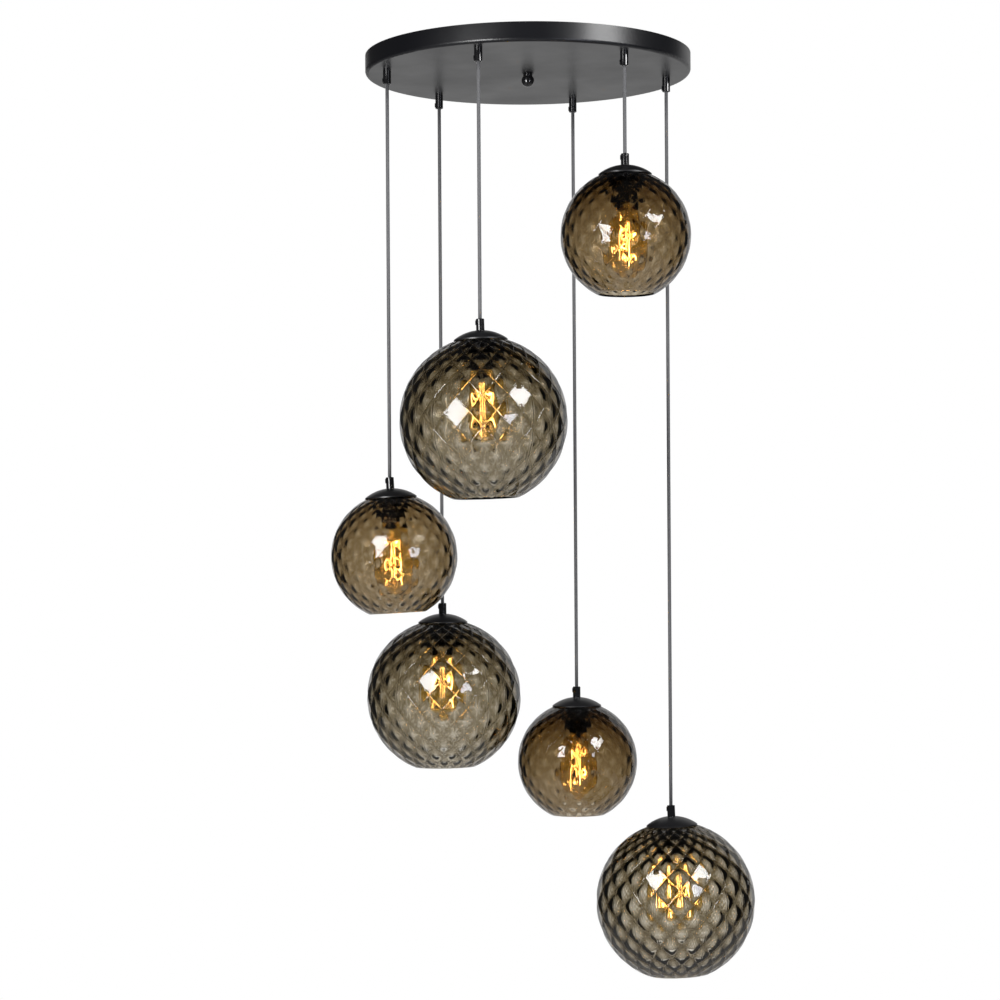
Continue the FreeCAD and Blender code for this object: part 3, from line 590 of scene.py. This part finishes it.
def row_table(top, bottom):
    """Polar angles and the row number at each: a row takes the row step at the equator and less towards the
    poles, step times (1 + 3 sin angle) / 4 above it and step times (2 + sin angle) / 3 below it, where the
    bubbles are drawn long towards the mouth. So the row number is the sum of angle over that step."""
    first, last = min(top, ROW_TABLE_MARGIN), max(bottom, math.pi - ROW_TABLE_MARGIN)
    angle = np.linspace(first, last, ROW_TABLE_STEPS)
    share = np.where(angle < math.pi / 2, (1 + 3 * np.sin(angle)) / 4, (2 + np.sin(angle)) / 3)
    step = math.radians(BUBBLE_ROW_STEP) * share
    rate = 1 / step
    number = np.concatenate([[0.0], np.cumsum((rate[1:] + rate[:-1]) / 2 * np.diff(angle))]) / 2
    middle = math.radians(90 + BUBBLE_ROW_SHIFT)
    return angle, number - np.interp(middle, angle, number)


def bubble(across, down, soft):
    """1 in the middle of a bubble and 0 on the ribs between them. Bubbles sit at whole numbers of across and
    down and halfway between; each is an oval whose edge is where a power of its two offsets adds up to one.
    A soft bubble runs out over its ribs as the product of two squared cosines, and a sharp one is a bowl that
    meets its ribs nearly at an edge."""
    slash, backslash = across + down, across - down
    waves = np.cos(math.pi * slash) ** 2 * np.cos(math.pi * backslash) ** 2
    slash = slash - np.round(slash)
    backslash = backslash - np.round(backslash)
    sideways, upwards = np.abs(slash + backslash) / 2, np.abs(slash - backslash) / 2
    power = BUBBLE_ROUNDNESS
    reach = 4 / 2 ** (1 / power) * (sideways ** power + upwards ** power) ** (1 / power)
    inside, bend = 1 - reach ** 2, BUBBLE_EDGE_BEND
    bowl = (inside + np.sqrt(inside ** 2 + bend ** 2)) / (1 + math.sqrt(1 + bend ** 2))
    return soft * waves + (1 - soft) * bowl


def seam_distance(across, down):
    """How far a place is from the nearest rib line, in bubble widths square to the line."""
    slash, backslash = across + down - 0.5, across - down - 0.5
    return np.minimum(np.abs(slash - np.round(slash)), np.abs(backslash - np.round(backslash))) / math.sqrt(2)


def ripples(directions, radius, length, seed):
    """The small ripples of blown glass over a sphere, as the sum of many plane waves that run through it:
    each is the sine of the place along its own direction over the wave's length, and all together reach
    about 1."""
    chance = np.random.default_rng(seed)
    ways = chance.normal(size=(RIPPLE_WAVES, 3))
    ways /= np.linalg.norm(ways, axis=1, keepdims=True)
    phases = chance.uniform(0, 2 * math.pi, RIPPLE_WAVES)
    waves = np.sin(directions @ ways.T * (2 * math.pi * radius / length) + phases)
    return waves.sum(axis=-1) / math.sqrt(RIPPLE_WAVES)


def smooth_step(share):
    """0 below 0, 1 above 1, and between them the smooth step 3 s^2 - 2 s^3."""
    share = np.clip(share, 0, 1)
    return share * share * (3 - 2 * share)


def globe_wall(letter):
    """The globe's closed wall about its own centre, with the rows of its map: an outer sphere that sinks a
    little over each bubble, an inner face where the wall is thin in each bubble and thick on the ribs, and a
    rounded lip. A point lies at a reach along a direction of two angles, the polar one from the top and the
    other round the axis: the outer reach is the radius less the sink, and the inner one less the wall."""
    large = letter in LARGE_PENDANTS
    radius, mouth = GLOBE_RADIUS[large], GLOBE_MOUTH[large]
    top, bottom = math.asin(GLOBE_HOLE / radius), math.pi - math.asin(mouth / radius)
    angle, number = row_table(top, bottom)
    first, last = np.interp(top, angle, number), np.interp(bottom, angle, number)
    part = 1 / STEPS_PER_BUBBLE[large]
    whole = np.arange(math.ceil(first / part) + 1, math.floor(last / part)) * part
    down = np.concatenate([[first], whole, [last]])
    columns = BUBBLE_COLUMNS * STEPS_PER_BUBBLE[large]
    across = np.arange(columns) * part
    polar = np.interp(down, number, angle)[:, None]
    around = (2 * math.pi * across / BUBBLE_COLUMNS)[None, :]
    seat = math.asin((RING_RADIUS + 0.0005) / (radius - GLOBE_TOP_WALL))
    from_hole = smooth_step((polar - seat) / math.radians(BUBBLE_FADE))
    from_mouth = smooth_step((bottom - polar) / math.radians(BUBBLE_FADE_AT_MOUTH[letter]))
    rib = 1 - bubble(across[None, :], down[:, None], BUBBLE_SOFTNESS[letter])
    bubble_width = 2 * math.pi * radius * np.sin(polar) / BUBBLE_COLUMNS
    off_seam = seam_distance(across[None, :], down[:, None]) * bubble_width / SEAM_HALF_WIDTH
    seam = np.clip(1 - off_seam, 0, 1)
    sink = from_hole * from_mouth * (BUBBLE_OUTSIDE * (1 - rib) + SEAM_HEIGHT[letter] * (1 - seam))
    upper, lower = (1 + np.cos(polar)) ** 3, (1 - np.cos(polar)) ** 3
    thicker = (THICKER_TOP[letter] * upper + THICKER_FOOT[letter] * lower) / 8
    wall = BUBBLE_THIN_WALL[letter] + BUBBLE_DEPTH[letter] * rib + thicker
    wall = GLOBE_TOP_WALL + from_hole * (wall - GLOBE_TOP_WALL)
    wall = GLOBE_LIP_WALL + from_mouth * (wall - GLOBE_LIP_WALL)

    directions = np.stack([
        np.sin(polar) * np.cos(around), np.sin(polar) * np.sin(around), np.cos(polar) + 0 * around], axis=-1)
    seed = PENDANTS.index(letter)
    for face, (height, length) in enumerate(zip(RIPPLE_HEIGHT, RIPPLE_LENGTH)):
        ripple = height * from_hole * from_mouth * ripples(directions, radius, length, seed + 10 * face)
        if face:
            wall = wall + ripple
        else:
            sink = np.maximum(sink + 2 * height * from_hole * from_mouth + ripple, 0)

    def sphere(reach, tilt):
        return np.stack([
            reach * np.sin(tilt) * np.cos(around),
            reach * np.sin(tilt) * np.sin(around),
            reach * np.cos(tilt) + 0 * around,
        ], axis=-1).reshape(-1, 3)

    lip_turn = np.linspace(0, math.pi, LIP_STEPS)[1:-1][:, None]
    lip_reach = radius - GLOBE_LIP_WALL / 2 * (1 - np.cos(lip_turn))
    lip_polar = bottom + GLOBE_LIP_WALL / 2 * np.sin(lip_turn) / radius
    outer, lip = sphere(radius - sink, polar), sphere(lip_reach, lip_polar)
    inner = sphere(radius - wall, polar)
    inner = inner.reshape(len(down), columns, 3)[::-1].reshape(-1, 3)
    points = np.concatenate([outer, lip, inner])
    rows = len(points) // columns
    steps = np.arange(rows - 1)[:, None] + np.arange(columns)[None, :]
    faces = closed_grid(rows, columns, steps % 2 == 1)
    start = np.arange(columns)
    start_next = np.roll(start, -1)
    end, end_next = start + (rows - 1) * columns, start_next + (rows - 1) * columns
    rim = np.concatenate([np.stack([end, start, start_next], -1), np.stack([end, start_next, end_next], -1)])
    counts = np.concatenate([down, np.full(len(lip_turn), last), np.full(len(down), last)])
    return points, np.concatenate([faces, rim]), columns, counts


def globe(letter):
    """One smoke-glass globe with its bubbles."""
    points, faces, columns, counts = globe_wall(letter)
    thing = piece("bubble_globe_" + letter, hung(points, letter, globe_drop(letter)), faces,
                  SMOKE_GLASS[letter in LARGE_PENDANTS], "pendant_" + letter,
                  ["glass_" + letter])
    lay_map(thing.data, "bubbles", columns, BUBBLE_COLUMNS, counts)


for letter in PENDANTS:
    globe(letter)


# The filaments


def rod(start, finish, radius, steps=12):
    """A thin straight rod with rounded ends: circles along it whose radius falls to a point as a half
    circle does."""
    start, finish = np.asarray(start, float), np.asarray(finish, float)
    along = (finish - start) / np.linalg.norm(finish - start)
    ends = np.linspace(0, math.pi / 2, 5)
    offsets = np.concatenate([-radius * np.cos(ends), np.linalg.norm(finish - start) + radius * np.sin(ends)])
    widths = np.concatenate([radius * np.sin(ends), radius * np.cos(ends)])
    widths = np.maximum(widths, radius * 0.02)
    side = np.cross(along, [0.31, 0.52, 0.8])
    side /= np.linalg.norm(side)
    other = np.cross(along, side)
    turn = np.linspace(0, 2 * math.pi, steps, endpoint=False)[None, :, None]
    circle = np.cos(turn) * side + np.sin(turn) * other
    points = start + offsets[:, None, None] * along + widths[:, None, None] * circle
    return points.reshape(-1, 3), tube_faces(len(offsets), steps)


def together(shapes):
    """Several point and face arrays as one."""
    points, faces, count = [], [], 0
    for some_points, some_faces in shapes:
        points.append(some_points)
        faces.append(some_faces + count)
        count += len(some_points)
    return np.concatenate(points), np.concatenate(faces)


def ring_spot(step, spot):
    """A point at a radius and a drop, a number of sixths of a turn round the bulb's axis."""
    turn = math.pi * step / STICK_PAIRS
    return np.array([spot[0] * math.cos(turn), spot[0] * math.sin(turn), -spot[1]])


def filament(letter):
    """The bulb's glass stem, its support wires and the zigzag of lit sticks."""
    body = "bulb_" + letter
    count = STICK_PAIRS * 2
    ends = [ring_spot(step, STICK_BOTTOM if step % 2 else STICK_TOP) for step in range(count)]
    sticks = together([rod(ends[step], ends[(step + 1) % count], STICK_RADIUS) for step in range(count)])
    wires = together([rod([0.0, 0.0, end[2]], end, WIRE_RADIUS, 8) for end in ends])
    profile = np.array([(radius, -drop) for radius, drop in STEM_PROFILE])
    steps = 32
    stem = turned_points(profile, steps), closed_grid(len(profile), steps)
    node = ["bulb_filament_" + letter]
    for name, shape, finish, slot in (
            ("filament_stem_", stem, STEM_GLASS, "filament_glass"),
            ("filament_wires_", wires, WIRE_METAL, "zinc_steel"),
            ("filament_sticks_", sticks, FILAMENT_COAT, "filament_glass")):
        piece(name + letter, hung(shape[0], letter, HOLDER_END_DROP), shape[1], finish, body, node)


for letter in PENDANTS:
    filament(letter)


# Finishes on the solids


def dress(node, finish):
    """Give a solid its finish."""
    mesh = frame["nodes"][node].data
    mesh.materials.clear()
    mesh.materials.append(finish)


for node, finish in (
        ("ceiling_plate", PLATE_COAT), ("mounting_bracket", ZINC), ("ball_nut", NUT_ENAMEL),
        ("plate_cord_grips", GRIP_PLASTIC), ("terminal_block", TERMINAL_NYLON)):
    dress(node, finish)
for letter in PENDANTS:
    for node, finish in (
            ("cap_grip_", GRIP_PLASTIC), ("cap_", CAP_COAT), ("lamp_holder_", HOLDER_PLASTIC),
            ("shade_ring_", HOLDER_PLASTIC), ("bulb_glass_", AMBER_GLASS), ("bulb_cap_", BULB_CAP_METAL)):
        dress(node + letter, finish)


# Floor, world and lamps


def pale_floor():
    """A plain pale floor far below the globes. The camera, glass and gloss see it nearly white, and the lamps
    and the object's shadow show on the rest."""
    half = FLOOR_SIZE / 2
    mesh = bpy.data.meshes.new("floor")
    mesh.from_pydata([(-half, -half, FLOOR_HEIGHT), (half, -half, FLOOR_HEIGHT), (half, half, FLOOR_HEIGHT),
                      (-half, half, FLOOR_HEIGHT)], [], [(0, 1, 2, 3)])
    floor = bpy.data.objects.new("floor", mesh)
    scene.collection.objects.link(floor)
    finish, tree, output = new_finish("pale_floor")
    matte = tree.nodes.new("ShaderNodeBsdfDiffuse")
    matte.inputs["Color"].default_value = (FLOOR_GREY, FLOOR_GREY, FLOOR_GREY, 1.0)
    glow = tree.nodes.new("ShaderNodeEmission")
    path = tree.nodes.new("ShaderNodeLightPath")
    seen = tree.nodes.new("ShaderNodeMath")
    seen.operation = "MAXIMUM"
    tree.links.new(path.outputs["Is Camera Ray"], seen.inputs[0])
    tree.links.new(path.outputs["Is Transmission Ray"], seen.inputs[1])
    level = tree.nodes.new("ShaderNodeMath")
    level.operation = "MULTIPLY"
    level.inputs[1].default_value = FLOOR_GLOW
    tree.links.new(seen.outputs["Value"], level.inputs[0])
    tree.links.new(level.outputs["Value"], glow.inputs["Strength"])
    both = tree.nodes.new("ShaderNodeAddShader")
    tree.links.new(matte.outputs["BSDF"], both.inputs[0])
    tree.links.new(glow.outputs["Emission"], both.inputs[1])
    tree.links.new(both.outputs["Shader"], output.inputs["Surface"])
    mesh.materials.append(finish)


def studio_world():
    """White where the camera looks and where glass lets light straight through, and a plain level
    elsewhere."""
    world = bpy.data.worlds.new("studio")
    scene.world = world
    world.use_nodes = True
    tree = world.node_tree
    tree.nodes.clear()
    output = tree.nodes.new("ShaderNodeOutputWorld")
    path = tree.nodes.new("ShaderNodeLightPath")
    straight = tree.nodes.new("ShaderNodeMath")
    straight.operation = "LESS_THAN"
    straight.inputs[1].default_value = 0.5
    tree.links.new(path.outputs["Glossy Depth"], straight.inputs[0])
    through = tree.nodes.new("ShaderNodeMath")
    through.operation = "MULTIPLY"
    tree.links.new(path.outputs["Is Transmission Ray"], through.inputs[0])
    tree.links.new(straight.outputs["Value"], through.inputs[1])
    levels = {}
    for name, strength in WORLD_LEVELS.items():
        level = tree.nodes.new("ShaderNodeBackground")
        level.inputs["Color"].default_value = (1.0, 1.0, 1.0, 1.0)
        level.inputs["Strength"].default_value = strength
        levels[name] = level.outputs["Background"]
    chosen = levels["plain"]
    for ray, name in (
            (path.outputs["Is Glossy Ray"], "gloss"), (path.outputs["Is Transmission Ray"], "gloss"),
            (through.outputs["Value"], "white"), (path.outputs["Is Camera Ray"], "white")):
        mix = tree.nodes.new("ShaderNodeMixShader")
        tree.links.new(ray, mix.inputs["Fac"])
        tree.links.new(chosen, mix.inputs[1])
        tree.links.new(levels[name], mix.inputs[2])
        chosen = mix.outputs["Shader"]
    tree.links.new(chosen, output.inputs["Surface"])


def softbox(name, place, aim, width, height, radiance, colour):
    """A flat studio lamp at a place, turned to an aim. Its power is its radiance times pi times its area."""
    data = bpy.data.lights.new(name, "AREA")
    data.shape = "RECTANGLE"
    data.size, data.size_y = width, height
    data.energy = radiance * math.pi * width * height
    data.color = colour
    lamp = bpy.data.objects.new(name, data)
    scene.collection.objects.link(lamp)
    lamp.location = place
    lamp.rotation_euler = (Vector(aim) - Vector(place)).to_track_quat("-Z", "Y").to_euler()
    return lamp


pale_floor()
studio_world()
for name, (place, width, height, radiance, colour) in SOFTBOXES.items():
    softbox(name, place, LAMP_AIM, width, height, radiance, colour)
backdrop = softbox("backdrop_glow", BACKDROP_PLACE, BACKDROP_AIM, BACKDROP_WIDTH, BACKDROP_HEIGHT,
                   BACKDROP_RADIANCE, WHITE)
# Glass shows the white world instead of the lamp behind it
backdrop.visible_transmission = False

scene.view_settings.view_transform = "Standard"
scene.cycles.max_bounces = LIGHT_BOUNCES
scene.cycles.transmission_bounces = LIGHT_BOUNCES
